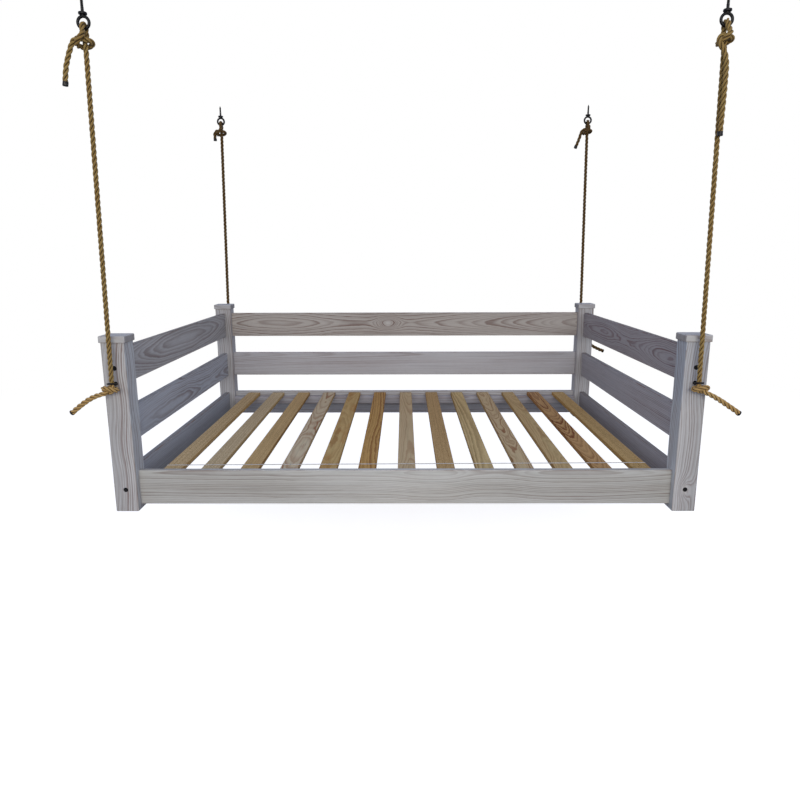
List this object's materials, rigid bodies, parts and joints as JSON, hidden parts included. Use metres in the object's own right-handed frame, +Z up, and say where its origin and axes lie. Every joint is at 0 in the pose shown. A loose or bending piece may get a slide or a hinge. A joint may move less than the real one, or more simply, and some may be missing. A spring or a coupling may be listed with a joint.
{
  "type": "porch swing",
  "caption": "Hanging porch swing bed: slatted timber base, railed back and sides and capped corner posts, hung from ceiling eyes on knotted twisted ropes.",
  "frame": {"origin": "middle of the ceiling eyes, on the ceiling plane they are screwed into", "axes": "+Z up, +X to the right across the width, the open side faces -Y"},
  "size_m": [2.5246, 1.8803, 1.84],
  "materials": {
    "washed_pine": "grey-white washed, open grain",
    "slat_pine": "planed, unfinished",
    "ledger_pine": "planed, unfinished",
    "dowel_beech": "fluted, unfinished",
    "white_string": "twisted",
    "zinc_steel": "zinc plated",
    "black_steel": "satin black",
    "manila_rope": "three-strand laid"
  },
  "bodies": {
    "ceiling": {"front_left_ceiling_eye": "black_steel", "front_right_ceiling_eye": "black_steel", "rear_left_ceiling_eye": "black_steel", "rear_right_ceiling_eye": "black_steel"},
    "top_knot_fl": {"front_left_top_knot": "manila_rope"},
    "rope_fl": {"front_left_rope": "manila_rope"},
    "low_knot_fl": {"front_left_low_knot": "manila_rope"},
    "top_knot_fr": {"front_right_top_knot": "manila_rope"},
    "rope_fr": {"front_right_rope": "manila_rope"},
    "low_knot_fr": {"front_right_low_knot": "manila_rope"},
    "top_knot_rl": {"rear_left_top_knot": "manila_rope"},
    "rope_rl": {"rear_left_rope": "manila_rope"},
    "low_knot_rl": {"rear_left_low_knot": "manila_rope"},
    "top_knot_rr": {"rear_right_top_knot": "manila_rope"},
    "rope_rr": {"rear_right_rope": "manila_rope"},
    "low_knot_rr": {"rear_right_low_knot": "manila_rope"},
    "bed": {"back_ledger": "ledger_pine", "back_rail_lower": "washed_pine", "back_rail_middle": "washed_pine", "back_rail_upper": "washed_pine", "barrel_nuts": "zinc_steel", "dowels": "dowel_beech", "eye_washers": "black_steel", "front_ledger": "ledger_pine", "front_left_bed_eye": "black_steel", "front_left_cap": "washed_pine", "front_left_post": "washed_pine", "front_rail": "washed_pine", "front_right_bed_eye": "black_steel", "front_right_cap": "washed_pine", "front_right_post": "washed_pine", "ledger_screws": "zinc_steel", "left_rail_lower": "washed_pine", "left_rail_middle": "washed_pine", "left_rail_upper": "washed_pine", "rail_bolts": "black_steel", "rear_left_bed_eye": "black_steel", "rear_left_cap": "washed_pine", "rear_left_post": "washed_pine", "rear_right_bed_eye": "black_steel", "rear_right_cap": "washed_pine", "rear_right_post": "washed_pine", "right_rail_lower": "washed_pine", "right_rail_middle": "washed_pine", "right_rail_upper": "washed_pine", "slat_01": "slat_pine", "slat_02": "slat_pine", "slat_03": "slat_pine", "slat_04": "slat_pine", "slat_05": "slat_pine", "slat_06": "slat_pine", "slat_07": "slat_pine", "slat_08": "slat_pine", "slat_09": "slat_pine", "slat_10": "slat_pine", "slat_11": "slat_pine", "slat_12": "slat_pine", "slat_13": "slat_pine", "slat_staples": "zinc_steel", "slat_string": "white_string"}
  },
  "joints": [
    {"name": "swing", "type": "hinge", "parent": "ceiling", "child": "top_knot_fl", "pos_m": [-1.07455, -0.862, -0.051], "axis": [1, 0, 0], "range_deg": [-5.5, 5.5]},
    {"name": "sway", "type": "hinge", "parent": "top_knot_fl", "child": "rope_fl", "pos_m": [-1.07455, -0.862, -0.12], "axis": [0, 1, 0], "range_deg": [-8, 8]},
    {"name": "eye_sway_fl", "type": "hinge", "parent": "rope_fl", "child": "low_knot_fl", "pos_m": [-1.09655, -0.862, -1.265], "axis": [0, 1, 0], "range_deg": [-7.84, 7.84]},
    {"name": "swing_fr", "type": "hinge", "parent": "ceiling", "child": "top_knot_fr", "pos_m": [1.07455, -0.862, -0.051], "axis": [1, 0, 0], "range_deg": [-5.5, 5.5]},
    {"name": "sway_fr", "type": "hinge", "parent": "top_knot_fr", "child": "rope_fr", "pos_m": [1.07455, -0.862, -0.12], "axis": [0, 1, 0], "range_deg": [-8, 8]},
    {"name": "eye_sway_fr", "type": "hinge", "parent": "rope_fr", "child": "low_knot_fr", "pos_m": [1.09655, -0.862, -1.265], "axis": [0, 1, 0], "range_deg": [-7.84, 7.84]},
    {"name": "swing_rl", "type": "hinge", "parent": "ceiling", "child": "top_knot_rl", "pos_m": [-1.07455, 0.862, -0.051], "axis": [1, 0, 0], "range_deg": [-5.5, 5.5]},
    {"name": "sway_rl", "type": "hinge", "parent": "top_knot_rl", "child": "rope_rl", "pos_m": [-1.07455, 0.862, -0.12], "axis": [0, 1, 0], "range_deg": [-8, 8]},
    {"name": "eye_sway_rl", "type": "hinge", "parent": "rope_rl", "child": "low_knot_rl", "pos_m": [-1.09655, 0.862, -1.265], "axis": [0, 1, 0], "range_deg": [-7.84, 7.84]},
    {"name": "swing_rr", "type": "hinge", "parent": "ceiling", "child": "top_knot_rr", "pos_m": [1.07455, 0.862, -0.051], "axis": [1, 0, 0], "range_deg": [-5.5, 5.5]},
    {"name": "sway_rr", "type": "hinge", "parent": "top_knot_rr", "child": "rope_rr", "pos_m": [1.07455, 0.862, -0.12], "axis": [0, 1, 0], "range_deg": [-8, 8]},
    {"name": "eye_sway_rr", "type": "hinge", "parent": "rope_rr", "child": "low_knot_rr", "pos_m": [1.09655, 0.862, -1.265], "axis": [0, 1, 0], "range_deg": [-7.84, 7.84]},
    {"name": "bed_level", "type": "hinge", "parent": "low_knot_fl", "child": "bed", "pos_m": [-1.09655, -0.862, -1.265], "axis": [1, 0, 0], "range_deg": [-5.5, 5.5]}
  ],
  "couplings": [
    {"joint": "eye_sway_fl", "follows": "sway", "ratio": -0.97994},
    {"joint": "eye_sway_fr", "follows": "sway", "ratio": -0.97994},
    {"joint": "swing_fr", "follows": "swing", "ratio": 1},
    {"joint": "sway_fr", "follows": "sway", "ratio": 1},
    {"joint": "eye_sway_rl", "follows": "sway", "ratio": -0.97994},
    {"joint": "swing_rl", "follows": "swing", "ratio": 1},
    {"joint": "sway_rl", "follows": "sway", "ratio": 1},
    {"joint": "eye_sway_rr", "follows": "sway", "ratio": -0.97994},
    {"joint": "swing_rr", "follows": "swing", "ratio": 1},
    {"joint": "sway_rr", "follows": "sway", "ratio": 1},
    {"joint": "bed_level", "follows": "swing", "ratio": -1}
  ]
}
